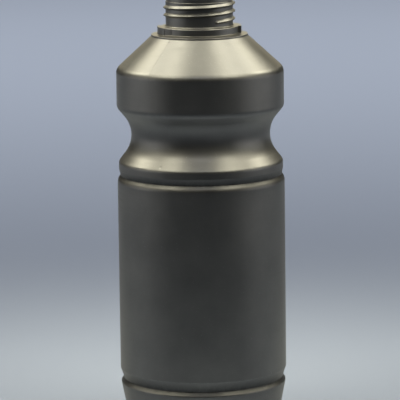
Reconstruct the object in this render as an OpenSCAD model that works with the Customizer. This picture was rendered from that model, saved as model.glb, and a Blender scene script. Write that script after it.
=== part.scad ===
// Antifreeze bottle for one litre, blown in one piece, with an open screw neck.
// Millimetres, +Z up. The origin is the middle of the ring that it stands on.

/* [Foot] */
// Diameter at which the tapered foot would meet the floor
foot_low_d = 78.8; // [72:0.2:84]
// Diameter at the top of the foot
foot_top_d = 87.4; // [84.8:0.2:88]
// Height of the tapered foot
foot_h = 21.9; // [14:0.1:40]
// Rounding of the foot's top edge
foot_edge_r = 1.3; // [0.3:0.1:1.8]
// Radius of the heel, between the foot and the floor
heel_r = 6; // [2:0.2:8]
// Inner diameter of the ring that the bottle stands on
stand_d = 60; // [50:0.5:64]
// Diameter of the raised panel inside that ring
panel_d = 46; // [30:0.5:48]
// Height of the raised panel above the floor
panel_h = 3; // [1:0.1:5]
// Rounding of the panel's edge and of the standing ring's inner edge
panel_r = 2; // [1.2:0.1:3]

/* [Body] */
// Diameter of the body
body_d = 88; // [86:0.2:96]
// Height of the straight body wall, with its rounded ends
body_h = 100.8; // [60:0.2:160]
// Rounding at the lower end of the body wall
body_low_r = 1.6; // [1.1:0.1:6]
// Rounding at the upper end of the body wall
body_top_r = 4.3; // [1.5:0.1:6]

/* [Grooves] */
// Diameter at the root of the lower groove
low_groove_d = 84.4; // [82:0.1:85.6]
// Height of the lower groove's short slope, on the side of the foot
low_groove_foot_h = 2.4; // [1.8:0.1:4]
// Height of the lower groove's long slope, on the side of the body
low_groove_body_h = 5.1; // [3:0.1:8]
// Diameter at the root of the upper groove
top_groove_d = 84.9; // [82:0.1:85.6]
// Height of the upper groove's steep slope, on the side of the body
top_groove_body_h = 2.5; // [2:0.1:6]
// Height of the upper groove's slope on the side of the lip
top_groove_lip_h = 3.3; // [1.8:0.1:6]
// Rounding of the grooves' roots
groove_r = 0.9; // [0.4:0.1:1.2]

/* [Grip] */
// Diameter of the lip under the grip
lip_d = 86.4; // [85.6:0.2:88]
// Height of that lip, with its rounded top
lip_h = 3.8; // [3:0.1:8]
// Rounding of the lip's lower edge
lip_low_r = 0.5; // [0.3:0.1:1.4]
// Rounding of the lip's top edge
lip_top_r = 2.9; // [1:0.1:4]
// Narrowest diameter of the grip
grip_d = 72.9; // [66:0.1:76]
// Radius of the hollow of the grip
grip_r = 15.7; // [8:0.1:18]
// Slope of the grip's lower flank, from the vertical, in degrees
grip_low_angle = 37.4; // [30:0.2:44]
// Slope of the grip's upper flank, from the vertical, in degrees
grip_high_angle = 39.7; // [30:0.2:44]

/* [Shoulder] */
// Diameter of the shoulder band
band_d = 87.8; // [86:0.2:94]
// Height of the shoulder band, with its rounded edges
band_h = 20; // [12:0.2:36]
// Rounding of the band's lower edge
band_low_r = 4.4; // [1.5:0.1:6]
// Rounding between the band and the cone
band_top_r = 4.8; // [1.5:0.1:8]
// Slope of the shoulder cone, from the horizontal, in degrees
cone_angle = 42.6; // [30:0.2:55]

/* [Neck] */
// Diameter of the ledge on top of the cone
ledge_d = 50.6; // [47:0.2:56]
// Height of the ledge's edge
ledge_h = 0.9; // [0.6:0.1:2]
// Rise of the ledge's top, from its edge to the collar
ledge_rise = 0.6; // [0.3:0.1:1.5]
// Diameter of the collar
collar_d = 41.2; // [39:0.1:43]
// Height of the collar
collar_h = 3.6; // [2.5:0.1:6]
// Rounding of the collar's top edge
collar_edge_r = 0.5; // [0.2:0.1:0.8]
// Diameter over the lugs on the collar
lug_d = 44; // [43.2:0.1:46]
// Number of lugs, evenly spread
lug_count = 2; // [1:1:4]
// Width of each lug round the collar, in degrees
lug_angle = 44; // [15:1:80]
// Drop from the end of each lug to the top of its ramp
lug_drop = 0.3; // [0.1:0.1:0.6]
// Length of the ramp from each lug down to the collar, in degrees
lug_ramp = 13; // [6:1:18]
// Where the first lug starts, in degrees from +X towards +Y
lug_start = -10; // [-90:1:90]
// Diameter of the neck below its rim
neck_d = 35.2; // [34:0.1:36.4]
// Height of the threaded neck, from the collar to the rim
neck_h = 13.2; // [12.8:0.1:20]
// Diameter of the rim
rim_d = 34.5; // [33.4:0.1:34.8]
// Height of the rim
rim_h = 3.1; // [2:0.1:6]
// Diameter of the bore through the neck
bore_d = 31; // [26:0.1:31.4]
// Rounding of the rim's edges
rim_edge_r = 0.5; // [0.2:0.1:0.6]
// Rounding of the throat, where the bore opens into the bottle
throat_r = 2; // [0.5:0.1:3]

/* [Thread] */
// Diameter over the thread
thread_d = 37.7; // [36.8:0.1:38.6]
// Rise of the thread in one turn
thread_pitch = 4; // [3.2:0.05:4.2]
// Number of turns, with the tapered ends
thread_turns = 2.2; // [1:0.05:2.2]
// Width of the thread at its foot
thread_w = 2.6; // [1.8:0.1:2.8]
// Width of the thread's crest
crest_w = 0.5; // [0.3:0.1:1.2]
// Height of the thread's start above the collar
thread_start_h = 3; // [1.6:0.1:3.2]
// Where the thread starts, in degrees from +X towards +Y
thread_start = -64; // [-180:1:180]
// Length of each tapered end of the thread, in degrees
thread_taper = 12; // [12:1:60]

/* [Wall] */
// Thickness of the blown wall
wall = 1; // [0.6:0.05:1.4]

/* [Hidden] */
plastic = [0.25, 0.25, 0.24];
// Sharp moulded edges of the neck are rounded by this much
neck_edge_r = 0.25;
// Rounding where the neck meets the collar
neck_foot_r = 0.5;
// Least rounding of an inner corner
inner_r_min = 0.3;
// Largest gap between a rounded corner and the short lines that draw it
arc_gap = 0.012;
// Depth to which lugs and thread are rooted in the wall that carries them
root_depth = 0.7;
// How far the plane of a ramp runs on into the collar, as a multiple of the ramp's length
ramp_reach = 1.3;
// Degrees of turn between two sections of the thread
thread_step = 10;

// Heights of the corners, each stacked on the one below
low_groove_z = foot_h + low_groove_foot_h;
body_low_z = low_groove_z + low_groove_body_h;
body_top_z = body_low_z + body_h;
top_groove_z = body_top_z + top_groove_body_h;
lip_low_z = top_groove_z + top_groove_lip_h;
lip_top_z = lip_low_z + lip_h;
// The two flanks of the grip meet at this radius before the hollow between them is rounded
grip_corner_r = grip_d / 2 + grip_r
    - grip_r * cos((grip_high_angle - grip_low_angle) / 2) / cos((grip_high_angle + grip_low_angle) / 2);
grip_z = lip_top_z + (lip_d / 2 - grip_corner_r) / tan(grip_low_angle);
band_low_z = grip_z + (band_d / 2 - grip_corner_r) / tan(grip_high_angle);
band_top_z = band_low_z + band_h;
ledge_low_z = band_top_z + (band_d - ledge_d) / 2 * tan(cone_angle);
ledge_top_z = ledge_low_z + ledge_h;
collar_low_z = ledge_top_z + ledge_rise;
collar_top_z = collar_low_z + collar_h;
rim_low_z = collar_top_z + neck_h;
rim_top_z = rim_low_z + rim_h;

// Corners of the blown wall's outside, from the middle of the base to the top of the cone,
// each as [radius, height, rounding]
blown_corners = [
    [0, panel_h, 0],
    [panel_d / 2, panel_h, panel_r],
    [stand_d / 2, 0, panel_r],
    [foot_low_d / 2, 0, heel_r],
    [foot_top_d / 2, foot_h, foot_edge_r],
    [low_groove_d / 2, low_groove_z, groove_r],
    [body_d / 2, body_low_z, body_low_r],
    [body_d / 2, body_top_z, body_top_r],
    [top_groove_d / 2, top_groove_z, groove_r],
    [lip_d / 2, lip_low_z, lip_low_r],
    [lip_d / 2, lip_top_z, lip_top_r],
    [grip_corner_r, grip_z, grip_r],
    [band_d / 2, band_low_z, band_low_r],
    [band_d / 2, band_top_z, band_top_r],
    [ledge_d / 2, ledge_low_z, neck_edge_r]
];
// Corners of the neck's outside, from the ledge to the rim
neck_corners = [
    [ledge_d / 2, ledge_top_z, neck_edge_r],
    [collar_d / 2, collar_low_z, neck_edge_r],
    [collar_d / 2, collar_top_z, collar_edge_r],
    [neck_d / 2, collar_top_z, neck_foot_r],
    [neck_d / 2, rim_low_z, 0],
    [rim_d / 2, rim_low_z, 0],
    [rim_d / 2, rim_top_z, rim_edge_r]
];
// Corners of the bore, from the throat to the mouth
bore_corners = [
    [bore_d / 2, collar_low_z, throat_r],
    [bore_d / 2, rim_top_z, rim_edge_r]
];

function polar(r, a) = [r * cos(a), r * sin(a)];
function place(corner) = [corner[0], corner[1]];
function heading(from, to) = (place(to) - place(from)) / norm(place(to) - place(from));
function left_of(direction) = [-direction[1], direction[0]];
function turned(v, a) = [v[0] * cos(a) - v[1] * sin(a), v[0] * sin(a) + v[1] * cos(a)];
function reversed(list) = [for (i = [len(list) - 1 : -1 : 0]) list[i]];

// Points of one corner, which is an arc where it is rounded
function corner_points(before, here, after) =
    let (
        way_in = heading(before, here),
        way_out = heading(here, after),
        turn = atan2(cross(way_in, way_out), way_in * way_out),
        r = here[2],
        to_side = left_of(way_in) * sign(turn) * r,
        centre = place(here) - way_in * r * tan(abs(turn) / 2) + to_side,
        step = r > arc_gap ? 2 * acos(1 - arc_gap / r) : 90,
        steps = max(2, ceil(abs(turn) / step))
    )
    r == 0 ? [place(here)] : [for (i = [0 : steps]) centre - turned(to_side, turn * i / steps)];

// Points along a list of corners; its two ends stay sharp
function rounded(corners) =
    let (last = len(corners) - 1)
    [
        place(corners[0]),
        for (i = [1 : last - 1]) each corner_points(corners[i - 1], corners[i], corners[i + 1]),
        place(corners[last])
    ];

// The same corners moved to their left by a depth, with roundings that keep the depth even
function inset(corners, depth) =
    let (last = len(corners) - 1)
    [
        for (i = [0 : last])
            let (
                way_in = heading(corners[max(i, 1) - 1], corners[max(i, 1)]),
                way_out = heading(corners[min(i, last - 1)], corners[min(i, last - 1) + 1]),
                side = (left_of(way_in) + left_of(way_out)) / (1 + way_in * way_out),
                r = corners[i][2] - sign(cross(way_in, way_out)) * depth
            )
            [each place(corners[i]) + side * depth, corners[i][2] == 0 ? 0 : max(r, inner_r_min)]
    ];

// Section of the whole wall, on one side of the axis: up the outside and down the inside
module wall_section() {
    mouth = [(rim_d + bore_d) / 4, rim_top_z];
    outside = concat(blown_corners, neck_corners, [mouth]);
    inside = concat(inset(blown_corners, wall), bore_corners, [mouth]);
    polygon(concat(rounded(outside), reversed(rounded(inside))));
}

// One lug, which stands on the ledge and is rooted in the collar, with the ramp at its end
module lug() {
    root = collar_d / 2 - root_depth;
    corners = [
        [root, ledge_top_z, 0],
        [lug_d / 2, ledge_top_z, 0],
        [lug_d / 2, collar_top_z, neck_edge_r],
        [root, collar_top_z, 0]
    ];
    ramp_top = polar(lug_d / 2 - lug_drop, lug_angle);
    ramp_foot = polar(collar_d / 2, lug_angle + lug_ramp);
    ramp_end = ramp_top + (ramp_foot - ramp_top) * ramp_reach;
    rotate_extrude(angle = lug_angle)
        polygon(rounded(corners));
    translate([0, 0, ledge_top_z])
        linear_extrude(collar_top_z - ledge_top_z)
            polygon([ramp_top, ramp_end, polar(root, lug_angle / 2)]);
}

// Section of the thread at a share of its full depth, as [radius, height] from its middle line
function thread_section(share) =
    let (
        root = neck_d / 2 - root_depth,
        crest = neck_d / 2 - root_depth / 2 + ((thread_d - neck_d + root_depth) / 2) * share,
        shoulder = crest - neck_edge_r,
        foot = thread_w / 2,
        tip = crest_w / 2
    )
    [
        [root, -foot],
        [shoulder, -tip - neck_edge_r],
        [crest, -tip],
        [crest, tip],
        [shoulder, tip + neck_edge_r],
        [root, foot]
    ];

// The thread, a section swept up a helix with both ends sunk into the neck
module thread() {
    sections = ceil(thread_turns * 360 / thread_step);
    sides = len(thread_section(1));
    points = [
        for (i = [0 : sections])
            let (
                along = i / sections * thread_turns * 360,
                share = min(1, along / thread_taper, (thread_turns * 360 - along) / thread_taper),
                a = thread_start + along,
                z = collar_top_z + thread_start_h + along / 360 * thread_pitch
            )
            for (p = thread_section(share)) [p[0] * cos(a), p[0] * sin(a), z + p[1]]
    ];
    skin = [
        for (i = [0 : sections - 1], k = [0 : sides - 1])
            let (
                here = i * sides + k,
                beside = i * sides + (k + 1) % sides
            )
            each [[here, beside, beside + sides], [here, beside + sides, here + sides]]
    ];
    first_end = [for (k = [sides - 1 : -1 : 0]) k];
    last_end = [for (k = [0 : sides - 1]) sections * sides + k];
    polyhedron(points, concat(skin, [first_end, last_end]));
}

// The whole bottle
module bottle() {
    color(plastic)
        union() {
            rotate_extrude()
                wall_section();
            for (i = [0 : lug_count - 1])
                rotate([0, 0, lug_start + i * 360 / lug_count])
                    lug();
            thread();
        }
}

bottle();
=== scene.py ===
# Looks of the antifreeze bottle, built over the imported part.
# The bottle's lengths are in millimetres and are turned into metres. Lamps and camera are in metres.
import math

import bpy
import numpy as np
from mathutils import Matrix, Vector


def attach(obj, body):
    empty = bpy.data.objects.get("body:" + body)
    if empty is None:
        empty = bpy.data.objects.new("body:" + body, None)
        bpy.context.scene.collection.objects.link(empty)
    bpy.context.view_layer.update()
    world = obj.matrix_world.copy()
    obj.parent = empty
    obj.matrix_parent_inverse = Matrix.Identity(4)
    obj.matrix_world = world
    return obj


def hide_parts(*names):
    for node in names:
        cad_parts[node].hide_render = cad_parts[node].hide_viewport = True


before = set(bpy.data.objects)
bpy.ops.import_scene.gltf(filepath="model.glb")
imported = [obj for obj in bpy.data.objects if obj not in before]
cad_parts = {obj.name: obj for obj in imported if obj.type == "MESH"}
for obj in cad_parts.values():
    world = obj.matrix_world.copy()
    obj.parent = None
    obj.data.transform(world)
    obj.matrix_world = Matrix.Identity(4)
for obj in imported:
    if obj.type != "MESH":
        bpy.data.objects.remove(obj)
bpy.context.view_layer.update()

MM = 0.001

# Sizes of the part, as its source has them
FOOT_LOW_R = 39.4
FOOT_TOP_R = 43.7
FOOT_H = 21.9
FOOT_EDGE = 1.3
HEEL_R = 6.0
STAND_R = 30.0
PANEL_R = 23.0
PANEL_H = 3.0
PANEL_EDGE = 2.0
BODY_R = 44.0
BODY_H = 100.8
BODY_LOW_EDGE = 1.6
BODY_TOP_EDGE = 4.3
LOW_GROOVE_R = 42.2
LOW_GROOVE_FOOT_H = 2.4
LOW_GROOVE_BODY_H = 5.1
TOP_GROOVE_R = 42.45
TOP_GROOVE_BODY_H = 2.5
TOP_GROOVE_LIP_H = 3.3
GROOVE_ROOT = 0.9
LIP_R = 43.2
LIP_H = 3.8
LIP_LOW_EDGE = 0.5
LIP_TOP_EDGE = 2.9
GRIP_R = 36.45
GRIP_HOLLOW = 15.7
GRIP_LOW_ANGLE = math.radians(37.4)
GRIP_HIGH_ANGLE = math.radians(39.7)
BAND_R = 43.9
BAND_H = 20.0
BAND_LOW_EDGE = 4.4
BAND_TOP_EDGE = 4.8
CONE_ANGLE = math.radians(42.6)
LEDGE_R = 25.3
LEDGE_H = 0.9
LEDGE_RISE = 0.6
COLLAR_R = 20.6
COLLAR_H = 3.6
COLLAR_EDGE = 0.5
LUG_R = 22.0
LUG_COUNT = 2
LUG_ANGLE = 44.0
LUG_DROP = 0.3
LUG_RAMP = 13.0
LUG_START = -10.0
NECK_R = 17.6
NECK_H = 13.2
NECK_EDGE = 0.25
RIM_R = 17.25
RIM_H = 3.1
RIM_EDGE = 0.5
BORE_R = 15.5
THROAT = 2.0
THREAD_R = 18.85
THREAD_PITCH = 4.0
THREAD_TURNS = 2.2
THREAD_START_H = 3.0
THREAD_START = -64.0
WALL = 1.0
INNER_EDGE_MIN = 0.3

# Heights of the corners, each stacked on the one below
low_groove_z = FOOT_H + LOW_GROOVE_FOOT_H
body_low_z = low_groove_z + LOW_GROOVE_BODY_H
body_top_z = body_low_z + BODY_H
top_groove_z = body_top_z + TOP_GROOVE_BODY_H
lip_low_z = top_groove_z + TOP_GROOVE_LIP_H
lip_top_z = lip_low_z + LIP_H
flank_half = (GRIP_HIGH_ANGLE + GRIP_LOW_ANGLE) / 2
flank_skew = (GRIP_HIGH_ANGLE - GRIP_LOW_ANGLE) / 2
grip_corner_r = GRIP_R + GRIP_HOLLOW - GRIP_HOLLOW * math.cos(flank_skew) / math.cos(flank_half)
grip_z = lip_top_z + (LIP_R - grip_corner_r) / math.tan(GRIP_LOW_ANGLE)
band_low_z = grip_z + (BAND_R - grip_corner_r) / math.tan(GRIP_HIGH_ANGLE)
band_top_z = band_low_z + BAND_H
ledge_low_z = band_top_z + (BAND_R - LEDGE_R) * math.tan(CONE_ANGLE)
ledge_top_z = ledge_low_z + LEDGE_H
collar_low_z = ledge_top_z + LEDGE_RISE
collar_top_z = collar_low_z + COLLAR_H
rim_low_z = collar_top_z + NECK_H
rim_top_z = rim_low_z + RIM_H

# Finer sizes of this mesh alone, first the roundings of the neck's foot and of the step under the rim
NECK_FOOT = 1.0
STEP_EDGE = 0.12
# Steep face of a lug: degrees past its start, and the share of the lug's depth there
LUG_FACE = [(-0.16, 0), (0.04, 0.85), (0.3, 0.96), (0.8, 1)]
# Edge at the end of a lug: the same, from where the lug ends
LUG_END = [(-0.3, 1), (-0.1, 0.96)]
# Ramp after a lug: degrees from the lug's end to the ramp's top
RAMP_TOP = 0.1
# Dip at the ramp's foot, below the collar: its share of the lug's depth, and its length in degrees
RAMP_DIP = 0.15
RAMP_DIP_ANGLE = 1.2
# Section of the thread: reach of its foot below and above the middle, and its roundings
THREAD_FOOT_LOW = 0.95
THREAD_FOOT_HIGH = 1.3
THREAD_ROOT = 0.25
THREAD_TIP = 0.28
# The section goes on this far into the neck's wall, and grows this much wider there on either side
THREAD_SUNK = 0.3
THREAD_SUNK_FOOT = 0.2
# Tapered ends of the thread: their length in degrees, and the width there as a share of the full one
THREAD_TAPER = 5.0
THREAD_END_WIDTH = 0.75

# Fineness of the mesh: columns all round, and the longest step and widest turn from point to point
EVEN_COLUMNS = 180
OUTER_STEP = 2.6
OUTER_TURN = math.radians(7.5)
INNER_STEP = 8.0
INNER_TURN = math.radians(15)
THREAD_STEP = 2.0
THREAD_TURN = math.radians(12)
# Degrees between sections of the thread, and the number of sections in each tapered end
THREAD_STRIDE = 3
TAPER_SECTIONS = 9
# Fewest steps of a rounded corner
ARC_STEPS_MIN = 3
# A straight run shorter than this gets no points of its own
SHORT_RUN = 0.5
# The outer points of a run are this far from its ends, and never further than this share of it
END_GAP = 0.12
END_SHARE = 0.2
# An even column that is nearer than this to a closer one, in degrees, is left out
COLUMN_GAP = 0.25
ANGLE_DIGITS = 3
# Edges that turn by more than this are shaded as sharp
SHARP_TURN = math.radians(40)
# Least length that is divided by, and the difference up to which two heights count as one level
LEAST_LENGTH = 1e-6
LEVEL_SLACK = 0.01

# Parting line of the mould, at this angle and the opposite one, in degrees from +X towards +Y
PARTING = -127.5
PARTING_RIDGE = 0.08
PARTING_WIDTH = 0.32
# Share of the ridge's height that is left below the shoulder's edge
PARTING_FAINT = 0.2
# Share of the foot's height at which the ridge starts
PARTING_LOW = 0.3
# Degrees from the ridge's middle to the closer columns on either side
PARTING_COLUMNS = (0.12, 0.3, 0.55, 1.1)
# Pinched line across the base
PINCH_RIDGE = 0.35
PINCH_WIDTH = 0.7

# Painted shade darkens the roots of the grooves, which bend more than this, and fades out over this length
SHARP_HOLLOW = 0.5
GROOVE_SHADE_REACH = 2.0
# Small pits and nicks from use: angle in degrees, radius, height and reach
PITS = [
    (-120.2, 41.8, 141.6, 0.9),
    (-128.5, 44.0, 87.6, 0.8),
    (-35.2, 44.0, 30.3, 0.8),
    (-42.0, 42.8, 23.4, 0.7),
    (-125.8, 26.4, 204.6, 0.6),
]

# Colours of the plastic, of what wear leaves on it, and of the painted shade in the grooves
DARK_PATCH = (0.186, 0.184, 0.174, 1)
LIGHT_PATCH = (0.223, 0.22, 0.208, 1)
RUBBED_EDGE = (0.337, 0.335, 0.322, 1)
DUST = (0.3, 0.3, 0.29, 1)
# Painted shade: near-black laid into the roots of the grooves, where shade falls
GROOVE_SHADE_COLOUR = (0.045, 0.045, 0.045, 1)
# Levels of the slow noise between which the patches change
PATCH_SPAN = (0.3, 0.7)
# Heights are multiplied by these, so that scuffs lie level and flow lines stand upright
SCUFF_SQUEEZE = 22.0
FLOW_SQUEEZE = 0.03

# Floor, in metres
FLOOR_REACH = 9.0
FLOOR_COLOUR = (0.3, 0.34, 0.42, 1)

# Camera of the photograph, in metres, and its focal length and picture width in pixels
CAMERA_PITCH = math.radians(9.7)
CAMERA_ROLL = math.atan(0.01213)
CAMERA_DISTANCE = 1.58
CAMERA_AIM = (-0.00078, 0, 0.1183)
CAMERA_CLIP = 50
SENSOR_WIDTH = 36
FOCAL_PIXELS = 2996
PICTURE_PIXELS = 400


def heading(start, end):
    """Direction from one corner to the next, as a vector of length one."""
    way = np.array(end[:2]) - np.array(start[:2])
    return way / np.linalg.norm(way)


def left_of(way):
    """Direction a quarter turn to the left of another."""
    return np.array([-way[1], way[0]])


def corner_arc(before, here, after, widest_turn):
    """Points of one corner: an arc of its rounding, or the corner itself where it has none."""
    place = np.array(here[:2])
    if here[2] == 0:
        return [place]
    way_in, way_out = heading(before, here), heading(here, after)
    turn = math.atan2(way_in[0] * way_out[1] - way_in[1] * way_out[0], way_in @ way_out)
    to_side = left_of(way_in) * math.copysign(here[2], turn)
    centre = place - way_in * here[2] * math.tan(abs(turn) / 2) + to_side
    steps = max(ARC_STEPS_MIN, math.ceil(abs(turn) / widest_turn))
    points = []
    for i in range(steps + 1):
        a = turn * i / steps
        spoke = np.array([
            to_side[0] * math.cos(a) - to_side[1] * math.sin(a),
            to_side[0] * math.sin(a) + to_side[1] * math.cos(a),
        ])
        points.append(centre - spoke)
    return points


def rounded_line(corners, longest_step, widest_turn, runs=None):
    """Points along corners (radius, height, rounding), and the number of points on each straight run.

    Each run has a point close to either end, so that its shading stays flat up to the rounded corner."""
    arcs = [[np.array(corners[0][:2])]]
    for before, here, after in zip(corners, corners[1:], corners[2:]):
        arcs.append(corner_arc(before, here, after, widest_turn))
    arcs.append([np.array(corners[-1][:2])])
    if runs is None:
        runs = []
        for first, second in zip(arcs, arcs[1:]):
            gap = np.linalg.norm(second[0] - first[-1])
            runs.append(0 if gap < SHORT_RUN else max(2, math.ceil(gap / longest_step)))
    points = []
    for first, second, count in zip(arcs, arcs[1:], runs):
        points += first
        start, end = first[-1], second[0]
        gap = np.linalg.norm(end - start)
        for i in range(count):
            share = i / max(1, count - 1)
            edge = min(END_SHARE, END_GAP / gap)
            points.append(start + (end - start) * (edge + share * (1 - 2 * edge)))
    points += arcs[-1]
    return np.array(points), runs


def inset(corners, depth):
    """The same corners moved to their left by a depth, with roundings that keep the depth even."""
    moved = []
    last = len(corners) - 1
    for i, (r, z, rounding) in enumerate(corners):
        way_in = heading(corners[max(i, 1) - 1], corners[max(i, 1)])
        way_out = heading(corners[min(i, last - 1)], corners[min(i, last - 1) + 1])
        side = (left_of(way_in) + left_of(way_out)) / (1 + way_in @ way_out)
        turn = way_in[0] * way_out[1] - way_in[1] * way_out[0]
        inner = 0 if rounding == 0 else max(rounding - math.copysign(depth, turn), INNER_EDGE_MIN)
        moved.append((r + side[0] * depth, z + side[1] * depth, inner))
    return moved


def blown_corners():
    """Outside of the blown wall, from the middle of the base to the top of the cone."""
    return [
        (0, PANEL_H, 0),
        (PANEL_R, PANEL_H, PANEL_EDGE),
        (STAND_R, 0, PANEL_EDGE),
        (FOOT_LOW_R, 0, HEEL_R),
        (FOOT_TOP_R, FOOT_H, FOOT_EDGE),
        (LOW_GROOVE_R, low_groove_z, GROOVE_ROOT),
        (BODY_R, body_low_z, BODY_LOW_EDGE),
        (BODY_R, body_top_z, BODY_TOP_EDGE),
        (TOP_GROOVE_R, top_groove_z, GROOVE_ROOT),
        (LIP_R, lip_low_z, LIP_LOW_EDGE),
        (LIP_R, lip_top_z, LIP_TOP_EDGE),
        (grip_corner_r, grip_z, GRIP_HOLLOW),
        (BAND_R, band_low_z, BAND_LOW_EDGE),
        (BAND_R, band_top_z, BAND_TOP_EDGE),
        (LEDGE_R, ledge_low_z, NECK_EDGE),
    ]


def neck_corners(collar_r, top_edge):
    """Outside of the neck, from the ledge to the rim, for a collar of that radius and rounding."""
    slope = LEDGE_RISE / (LEDGE_R - COLLAR_R)
    return [
        (LEDGE_R, ledge_top_z, NECK_EDGE),
        (collar_r, ledge_top_z + slope * (LEDGE_R - collar_r), NECK_EDGE),
        (collar_r, collar_top_z, top_edge),
        (NECK_R, collar_top_z, NECK_FOOT),
        (NECK_R, rim_low_z, STEP_EDGE),
        (RIM_R, rim_low_z, STEP_EDGE),
        (RIM_R, rim_top_z, RIM_EDGE),
    ]


def bore_corners():
    """The bore, from the throat to the mouth."""
    return [(BORE_R, collar_low_z, THROAT), (BORE_R, rim_top_z, RIM_EDGE)]


def lug_line():
    """Degrees past a lug's start, and how far the collar stands out as a lug at each of them."""
    ramp_share = 1 - LUG_DROP / (LUG_R - COLLAR_R)
    ramp_end = LUG_ANGLE + LUG_RAMP
    line = LUG_FACE + [(LUG_ANGLE + past, share) for past, share in LUG_END]
    line += [(LUG_ANGLE + RAMP_TOP, ramp_share), (ramp_end - RAMP_DIP_ANGLE, -RAMP_DIP), (ramp_end, 0)]
    places, shares = zip(*line)
    return places, shares


def spread_angles():
    """Angles of the wall's columns: even all round, and closer at the lugs' ends and the parting lines."""
    even = np.linspace(0, 360, EVEN_COLUMNS, endpoint=False)
    close = []
    for i in range(LUG_COUNT):
        close += [LUG_START + i * 360 / LUG_COUNT + past for past in lug_line()[0]]
    for middle in (PARTING, PARTING + 180):
        close += [middle] + [middle + side * past for side in (-1, 1) for past in PARTING_COLUMNS]
    close = [a % 360 for a in close]
    kept = [a for a in even if all(abs((a - c + 180) % 360 - 180) > COLUMN_GAP for c in close)]
    return np.unique(np.round(kept + close, ANGLE_DIGITS))


def lug_share(angles):
    """How far the collar stands out as a lug at each angle: 1 on a lug, 0 off it, below 0 in a dip."""
    places, shares = lug_line()
    share = np.zeros(len(angles))
    for i in range(LUG_COUNT):
        # Degrees past this lug's start, counted from -90 to 270
        past = (angles - LUG_START - i * 360 / LUG_COUNT + 90) % 360 - 90
        share += np.interp(past, places, shares)
    return share


def bends(line):
    """One over the radius at each point of a line, above 0 where it turns outwards, below 0 in a hollow."""
    way = np.diff(line, axis=0)
    length = np.maximum(np.linalg.norm(way, axis=1), LEAST_LENGTH)
    way = way / length[:, None]
    turn = way[:-1, 0] * way[1:, 1] - way[:-1, 1] * way[1:, 0]
    bend = np.zeros(len(line))
    bend[1:-1] = 2 * turn / (length[:-1] + length[1:])
    return bend


def near_hollows(line):
    """How near each point of a line is to the root of a groove, from 1 in the root to 0 far away."""
    steps = np.linalg.norm(np.diff(line, axis=0), axis=1)
    along = np.concatenate([[0], np.cumsum(steps)])
    roots = along[(bends(line) < -SHARP_HOLLOW) & (line[:, 1] < grip_z)]
    off = np.abs(along[:, None] - roots[None, :]).min(1)
    return np.exp(-off / GROOVE_SHADE_REACH)


def ridge(angles, middle, r, width):
    """Height, from 0 to 1, of upright ridges at an angle and the opposite one, on a wall of radius r."""
    off = (angles - middle + 90) % 180 - 90
    aside = np.abs(r * np.sin(np.radians(off))[None, :])
    return np.clip(1 - aside / width, 0, 1)


def wall_mesh():
    """Vertices and faces of the wall, up the outside and down the inside, its wear, and where shade is
    painted near the grooves' roots.
    """
    mouth = ((RIM_R + BORE_R) / 2, rim_top_z, 0)
    collar = blown_corners() + neck_corners(COLLAR_R, COLLAR_EDGE) + [mouth]
    lug = blown_corners() + neck_corners(LUG_R, NECK_EDGE) + [mouth]
    inside = inset(blown_corners(), WALL) + bore_corners() + [mouth]
    plain, runs = rounded_line(collar, OUTER_STEP, OUTER_TURN)
    lugged, _ = rounded_line(lug, OUTER_STEP, OUTER_TURN, runs)
    inner, _ = rounded_line(inside, INNER_STEP, INNER_TURN)
    inner = inner[::-1][1:]
    angles = spread_angles()
    turn = np.radians(angles)
    share = lug_share(angles)

    # Outward direction of the outside at each point, from its neighbours
    ahead = np.vstack([plain[1:], plain[-1:]])
    behind = np.vstack([plain[:1], plain[:-1]])
    way = (ahead - behind) / np.linalg.norm(ahead - behind, axis=1)[:, None]
    out = np.stack([way[:, 1], -way[:, 0]], 1)

    # Outside with its lugs, and the marks of the mould raised on it
    r = plain[:, None, 0] + share[None, :] * (lugged - plain)[:, None, 0]
    z = plain[:, None, 1] + share[None, :] * (lugged - plain)[:, None, 1]
    on_wall = (z > FOOT_H * PARTING_LOW) & (z < ledge_top_z)
    on_panel = (np.abs(z - PANEL_H) < LEVEL_SLACK) & (r < PANEL_R - PANEL_EDGE)
    clear = np.interp(z, [band_top_z - BAND_TOP_EDGE, band_top_z], [PARTING_FAINT, 1])
    rise = np.where(on_wall, PARTING_RIDGE * clear * ridge(angles, PARTING, r, PARTING_WIDTH), 0)
    rise += np.where(on_panel, PINCH_RIDGE * ridge(angles, PARTING, r, PINCH_WIDTH), 0)
    r = r + rise * out[:, None, 0]
    z = z + rise * out[:, None, 1]

    # Whole wall, closed by one vertex in the middle of the base outside and one inside
    r = np.vstack([r, np.broadcast_to(inner[:, None, 0], (len(inner), len(angles)))])
    z = np.vstack([z, np.broadcast_to(inner[:, None, 1], (len(inner), len(angles)))])
    points = np.stack([r * np.cos(turn), r * np.sin(turn), z], 2)
    rows, columns = r.shape
    vertices = [points[0].mean(0)] + list(points[1:-1].reshape(-1, 3)) + [points[-1].mean(0)]
    finish = []
    # Levels at each point: wear on outward bends, and painted shade near the roots of the grooves
    for outside in (np.clip(bends(plain), 0, 1), near_hollows(plain)):
        line = np.concatenate([outside, np.zeros(len(inner))])
        finish.append([0.0] + list(np.repeat(line[1:-1], columns)) + [0.0])
    last = len(vertices) - 1
    faces = []
    for j in range(columns):
        k = (j + 1) % columns
        faces.append((0, 1 + k, 1 + j))
        for i in range(rows - 3):
            here = 1 + i * columns
            faces.append((here + j, here + k, here + columns + k, here + columns + j))
        here = 1 + (rows - 3) * columns
        faces.append((here + j, here + k, last))
    return vertices, faces, finish


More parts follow.
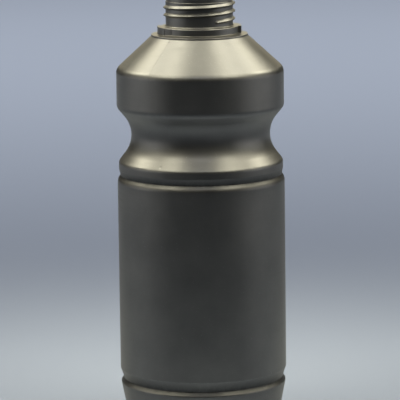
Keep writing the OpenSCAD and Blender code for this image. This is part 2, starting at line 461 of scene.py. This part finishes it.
def thread_mesh():
    """The same for the thread: a rounded vee with a hollow foot, swept up a helix, with both ends sunk."""
    half_foot = (THREAD_FOOT_LOW + THREAD_FOOT_HIGH) / 2
    sunk = NECK_R - THREAD_SUNK
    slant = math.hypot(half_foot, THREAD_R - NECK_R) / half_foot
    point = THREAD_R + THREAD_TIP * (slant - 1)
    corners = [
        (sunk, -THREAD_FOOT_LOW - THREAD_SUNK_FOOT, 0),
        (NECK_R, -THREAD_FOOT_LOW, THREAD_ROOT),
        (point, 0, THREAD_TIP),
        (NECK_R, THREAD_FOOT_HIGH, THREAD_ROOT),
        (sunk, THREAD_FOOT_HIGH + THREAD_SUNK_FOOT, 0),
    ]
    section, _ = rounded_line(corners, THREAD_STEP, THREAD_TURN)
    turns = THREAD_TURNS * 360
    ends = np.linspace(0, THREAD_TAPER, TAPER_SECTIONS)
    middle = np.linspace(THREAD_TAPER, turns - THREAD_TAPER, math.ceil(turns / THREAD_STRIDE))[1:-1]
    places = np.concatenate([ends, middle, turns - ends[::-1]])
    vertices = []
    for along in places:
        # Share of the full thread, eased at both ends of the taper
        share = min(1, along / THREAD_TAPER, (turns - along) / THREAD_TAPER)
        share = share * share * (3 - 2 * share)
        width = THREAD_END_WIDTH + (1 - THREAD_END_WIDTH) * share
        a = math.radians(THREAD_START + along)
        z = collar_top_z + THREAD_START_H + along / 360 * THREAD_PITCH
        for r, dz in section:
            reach = sunk + (r - sunk) * share
            vertices.append((reach * math.cos(a), reach * math.sin(a), z + dz * width))
    sides = len(section)
    faces = []
    for i in range(len(places) - 1):
        for k in range(sides - 1):
            here = i * sides + k
            faces.append((here, here + sides, here + sides + 1, here + 1))
    wear = list(np.clip(bends(section), 0, 1)) * len(places)
    return vertices, faces, [wear, [0.0] * len(wear)]


def make_bottle():
    """One mesh object of the wall and the thread."""
    vertices, faces, wear, painted_groove_shade = [], [], [], []
    for part_vertices, part_faces, (part_wear, part_painted_shade) in (wall_mesh(), thread_mesh()):
        start = len(vertices)
        vertices += [tuple(float(c) * MM for c in v) for v in part_vertices]
        faces += [tuple(i + start for i in f) for f in part_faces]
        wear += part_wear
        painted_groove_shade += part_painted_shade
    mesh = bpy.data.meshes.new("bottle_shell")
    mesh.from_pydata(vertices, [], faces)
    mesh.polygons.foreach_set("use_smooth", [True] * len(faces))
    mesh.set_sharp_from_angle(angle=SHARP_TURN)
    # The second attribute marks where shade is painted, near the roots of the grooves
    for name, levels in (("wear", wear), ("painted_groove_shade", painted_groove_shade)):
        mesh.attributes.new(name, "FLOAT", "POINT").data.foreach_set("value", levels)
    mesh.update()
    shell = bpy.data.objects.new("bottle_shell", mesh)
    bpy.context.scene.collection.objects.link(shell)
    return shell


def add_node(tree, kind, **values):
    """A new shader node, with its settings and unlinked inputs."""
    node = tree.nodes.new(kind)
    for name, value in values.items():
        if name in node.inputs:
            node.inputs[name].default_value = value
        else:
            setattr(node, name, value)
    return node


def noise(tree, where, **values):
    """A noise over places, as the output of a new node."""
    node = add_node(tree, "ShaderNodeTexNoise", **values)
    tree.links.new(where, node.inputs["Vector"])
    return node.outputs["Fac"]


def squeezed(tree, where, upright):
    """Places with their height multiplied, as the output of a new node."""
    node = add_node(tree, "ShaderNodeMapping", Scale=(1.0, 1.0, upright))
    tree.links.new(where, node.inputs["Vector"])
    return node.outputs["Vector"]


def map_range(tree, value, span, result):
    """A value moved from one range to another and held inside it, as the output of a new node."""
    node = add_node(tree, "ShaderNodeMapRange")
    node.inputs["From Min"].default_value = span[0]
    node.inputs["From Max"].default_value = span[1]
    node.inputs["To Min"].default_value = result[0]
    node.inputs["To Max"].default_value = result[1]
    tree.links.new(value, node.inputs["Value"])
    return node.outputs["Result"]


def combine(tree, operation, first, second):
    """Two values put together by an operation, as the output of a new node."""
    node = add_node(tree, "ShaderNodeMath", operation=operation)
    tree.links.new(first, node.inputs[0])
    tree.links.new(second, node.inputs[1])
    return node.outputs["Value"]


def lay_over(tree, below, share, colour):
    """A colour laid over the one below by a share, as the output of a new node."""
    node = add_node(tree, "ShaderNodeMixRGB", Color2=colour)
    tree.links.new(share, node.inputs["Fac"])
    tree.links.new(below, node.inputs["Color1"])
    return node.outputs["Color"]


def plastic():
    """Satin dark grey blown plastic, with the grain of its mould, light wear, and painted shade in the
    roots of its grooves.
    """
    material = bpy.data.materials.new("grey_plastic")
    material.use_nodes = True
    tree = material.node_tree
    tree.nodes.clear()
    link = tree.links.new
    output = add_node(tree, "ShaderNodeOutputMaterial")
    shader = add_node(tree, "ShaderNodeBsdfPrincipled")
    shader.inputs["IOR"].default_value = 1.5
    shader.inputs["Metallic"].default_value = 0.96
    shader.inputs["Specular IOR Level"].default_value = 0.5
    shader.inputs["Specular Tint"].default_value = (1.0, 0.95, 0.84, 1.0)
    link(shader.outputs["BSDF"], output.inputs["Surface"])
    where = add_node(tree, "ShaderNodeTexCoord").outputs["Object"]

    # Colour: slow patches a little lighter and darker
    patches = noise(tree, where, Scale=45.0, Detail=4.0, Roughness=0.6)
    tone = add_node(tree, "ShaderNodeValToRGB")
    for stop, level, colour in zip(tone.color_ramp.elements, PATCH_SPAN, (DARK_PATCH, LIGHT_PATCH)):
        stop.position = level
        stop.color = colour
    link(patches, tone.inputs["Fac"])

    # Wear: edges rubbed lighter, broken up by a finer noise, and a few pale specks; then painted shade,
    # near-black, in the roots of the grooves
    wear = add_node(tree, "ShaderNodeAttribute", attribute_name="wear").outputs["Fac"]
    painted_groove_shade = add_node(tree, "ShaderNodeAttribute", attribute_name="painted_groove_shade").outputs["Fac"]
    rub = noise(tree, where, Scale=320.0, Detail=5.0, Roughness=0.65)
    specks = noise(tree, where, Scale=1700.0, Detail=1.0)
    rubbed = combine(tree, "MULTIPLY", wear, map_range(tree, rub, span=(0.42, 0.62), result=(0.0, 0.5)))
    dusty = map_range(tree, specks, span=(0.7, 0.76), result=(0.0, 0.6))
    # Painted shade: the colour darkened towards near-black in the grooves' roots, broken up a little by the
    # finer noise
    groove_shade_share = combine(tree, "MULTIPLY", painted_groove_shade, map_range(tree, rub, span=(0.3, 0.6), result=(0.65, 0.85)))
    finish = tone.outputs["Color"]
    for share, colour in ((rubbed, RUBBED_EDGE), (dusty, DUST), (groove_shade_share, GROOVE_SHADE_COLOUR)):
        finish = lay_over(tree, finish, share, colour)
    link(finish, shader.inputs["Base Color"])

    # Roughness: slow patches, more in faint level scuffs and less where edges are rubbed
    scuffs = noise(tree, squeezed(tree, where, SCUFF_SQUEEZE), Scale=60.0, Detail=3.0)
    satin = map_range(tree, patches, span=PATCH_SPAN, result=(0.35, 0.41))
    scuffed = combine(tree, "ADD", satin, map_range(tree, scuffs, span=(0.58, 0.72), result=(0.0, 0.06)))
    polish = map_range(tree, rubbed, span=(0.0, 0.5), result=(0.0, 0.06))
    link(combine(tree, "SUBTRACT", scuffed, polish), shader.inputs["Roughness"])

    # Relief: grain of the mould, faint upright lines where the plastic flowed, and small pits
    grain = noise(tree, where, Scale=1400.0, Detail=3.0, Roughness=0.6)
    flow = noise(tree, squeezed(tree, where, FLOW_SQUEEZE), Scale=260.0, Detail=2.0)
    pits = None
    for angle, r, z, reach in PITS:
        a = math.radians(angle)
        away = add_node(tree, "ShaderNodeVectorMath", operation="DISTANCE")
        link(where, away.inputs[0])
        away.inputs[1].default_value = (r * math.cos(a) * MM, r * math.sin(a) * MM, z * MM)
        depth = map_range(tree, away.outputs["Value"], span=(0.0, reach * MM), result=(1.0, 0.0))
        pits = depth if pits is None else combine(tree, "MAXIMUM", pits, depth)
    normal = None
    for height, strength, distance, invert in (
        (grain, 0.05, 0.0004, False),
        (flow, 0.04, 0.001, False),
        (pits, 0.5, 0.0003, True),
    ):
        bump = add_node(tree, "ShaderNodeBump", Strength=strength, Distance=distance, invert=invert)
        link(height, bump.inputs["Height"])
        if normal is not None:
            link(normal, bump.inputs["Normal"])
        normal = bump.outputs["Normal"]
    link(normal, shader.inputs["Normal"])
    return material


def make_floor():
    """A wide pale floor under the bottle."""
    corners = [(x * FLOOR_REACH, y * FLOOR_REACH, 0) for x, y in ((-1, -1), (1, -1), (1, 1), (-1, 1))]
    mesh = bpy.data.meshes.new("floor")
    mesh.from_pydata(corners, [], [(0, 1, 2, 3)])
    floor = bpy.data.objects.new("floor", mesh)
    bpy.context.scene.collection.objects.link(floor)
    material = bpy.data.materials.new("pale_floor")
    material.use_nodes = True
    shader = material.node_tree.nodes["Principled BSDF"]
    shader.inputs["Base Color"].default_value = FLOOR_COLOUR
    shader.inputs["Roughness"].default_value = 0.9
    mesh.materials.append(material)


def area_light(name, place, target, along, size, radiance, colour, spread):
    """A soft rectangular lamp of even brightness, turned to a target, with its length along a direction."""
    length, width = size
    lamp = bpy.data.lights.new(name, "AREA")
    lamp.shape = "RECTANGLE"
    lamp.size = length
    lamp.size_y = width
    lamp.energy = radiance * math.pi * length * width
    lamp.color = colour
    lamp.spread = math.radians(spread)
    back = (Vector(place) - Vector(target)).normalized()
    across = back.cross(Vector(along)).normalized()
    turn = Matrix((across.cross(back), across, back)).transposed()
    holder = bpy.data.objects.new(name, lamp)
    holder.matrix_world = Matrix.Translation(place) @ turn.to_4x4()
    holder.visible_camera = False
    bpy.context.scene.collection.objects.link(holder)


def make_lights():
    """Soft boxes over and round the bottle, low panels beside it, and wide lamps for the floor."""
    warm = (1.0, 0.955, 0.77)
    white = (1.0, 1.0, 1.0)
    square = (0.4, 0.4)
    aim = (0, 0.04, 0.2)
    across = (1, 0, 0)
    level = (0, 1, 0)
    # Spread, in degrees, of a soft box with a grid in front
    grid = 36
    for side, name in ((-1, "left"), (1, "right")):
        inward = (side, 1, 0)
        outward = (side, -1, 0)
        area_light(
            f"fore_{name}", place=(side * 0.34, -0.18, 0.71), target=aim, along=inward,
            size=square, radiance=0.26, colour=warm, spread=grid,
        )
        area_light(
            f"high_{name}", place=(side * 0.26, 0.05, 0.82), target=aim, along=level,
            size=(0.3, 0.22), radiance=0.35, colour=warm, spread=grid,
        )
        area_light(
            f"side_{name}", place=(side * 0.57, -0.03, 0.57), target=aim, along=level,
            size=square, radiance=0.07, colour=warm, spread=grid,
        )
        area_light(
            f"rear_{name}", place=(side * 0.42, 0.33, 0.63), target=(0, 0.1, 0.2), along=outward,
            size=(0.6, 0.4), radiance=0.41, colour=warm, spread=grid,
        )
        area_light(
            f"low_{name}", place=(side * 0.75, -0.05, 0.22), target=(0, -0.02, 0.13), along=level,
            size=(1.0, 0.3), radiance=0.18, colour=white, spread=90,
        )
        area_light(
            f"brow_{name}", place=(side * 0.5, -0.5, 0.62), target=(0, 0, 0.15), along=inward,
            size=(0.9, 0.36), radiance=0.06, colour=warm, spread=90,
        )
        area_light(
            f"floor_{name}", place=(side * 2.2, 0.2, 1.7), target=(side * 2.2, 0.2, 0), along=level,
            size=(2.4, 1.6), radiance=0.6, colour=white, spread=80,
        )
    area_light(
        "top", place=(0, 0.03, 0.95), target=aim, along=across,
        size=square, radiance=0.11, colour=warm, spread=grid,
    )
    area_light(
        "front", place=(0, -0.34, 0.73), target=aim, along=across,
        size=(0.5, 0.3), radiance=0.075, colour=white, spread=grid,
    )
    area_light(
        "back", place=(0, 0.8, 0.42), target=(0, 0, 0.2), along=across,
        size=(0.7, 0.28), radiance=0.18, colour=warm, spread=60,
    )
    area_light(
        "backdrop", place=(0, 1.65, 1.7), target=(0, 1.65, 0), along=across,
        size=(3.2, 2.4), radiance=1.2, colour=white, spread=90,
    )
    area_light(
        "fore_floor", place=(0, -2.1, 1.7), target=(0, -2.1, 0), along=across,
        size=(3.2, 2.4), radiance=0.19, colour=white, spread=100,
    )
    world = bpy.data.worlds.new("studio")
    world.use_nodes = True
    background = world.node_tree.nodes["Background"]
    background.inputs["Color"].default_value = (0.5, 0.52, 0.56, 1)
    background.inputs["Strength"].default_value = 0.04
    bpy.context.scene.world = world


def make_camera():
    """The camera of the photograph: a long lens a little above the bottle, rolled by less than a degree."""
    forward = Vector((0, math.cos(CAMERA_PITCH), -math.sin(CAMERA_PITCH)))
    up = Vector((0, math.sin(CAMERA_PITCH), math.cos(CAMERA_PITCH)))
    right = Vector((1, 0, 0))
    rolled_right = right * math.cos(CAMERA_ROLL) - up * math.sin(CAMERA_ROLL)
    rolled_up = right * math.sin(CAMERA_ROLL) + up * math.cos(CAMERA_ROLL)
    data = bpy.data.cameras.new("camera")
    data.sensor_width = SENSOR_WIDTH
    data.lens = SENSOR_WIDTH * FOCAL_PIXELS / PICTURE_PIXELS
    data.clip_end = CAMERA_CLIP
    camera = bpy.data.objects.new("camera", data)
    place = Vector(CAMERA_AIM) - forward * CAMERA_DISTANCE
    turn = Matrix((rolled_right, rolled_up, -forward)).transposed()
    camera.matrix_world = Matrix.Translation(place) @ turn.to_4x4()
    bpy.context.scene.collection.objects.link(camera)
    bpy.context.scene.camera = camera


shell = make_bottle()
shell.data.materials.append(plastic())
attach(shell, "root")
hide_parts("bottle")
make_floor()
make_lights()
make_camera()
bpy.context.scene.view_settings.view_transform = "Standard"
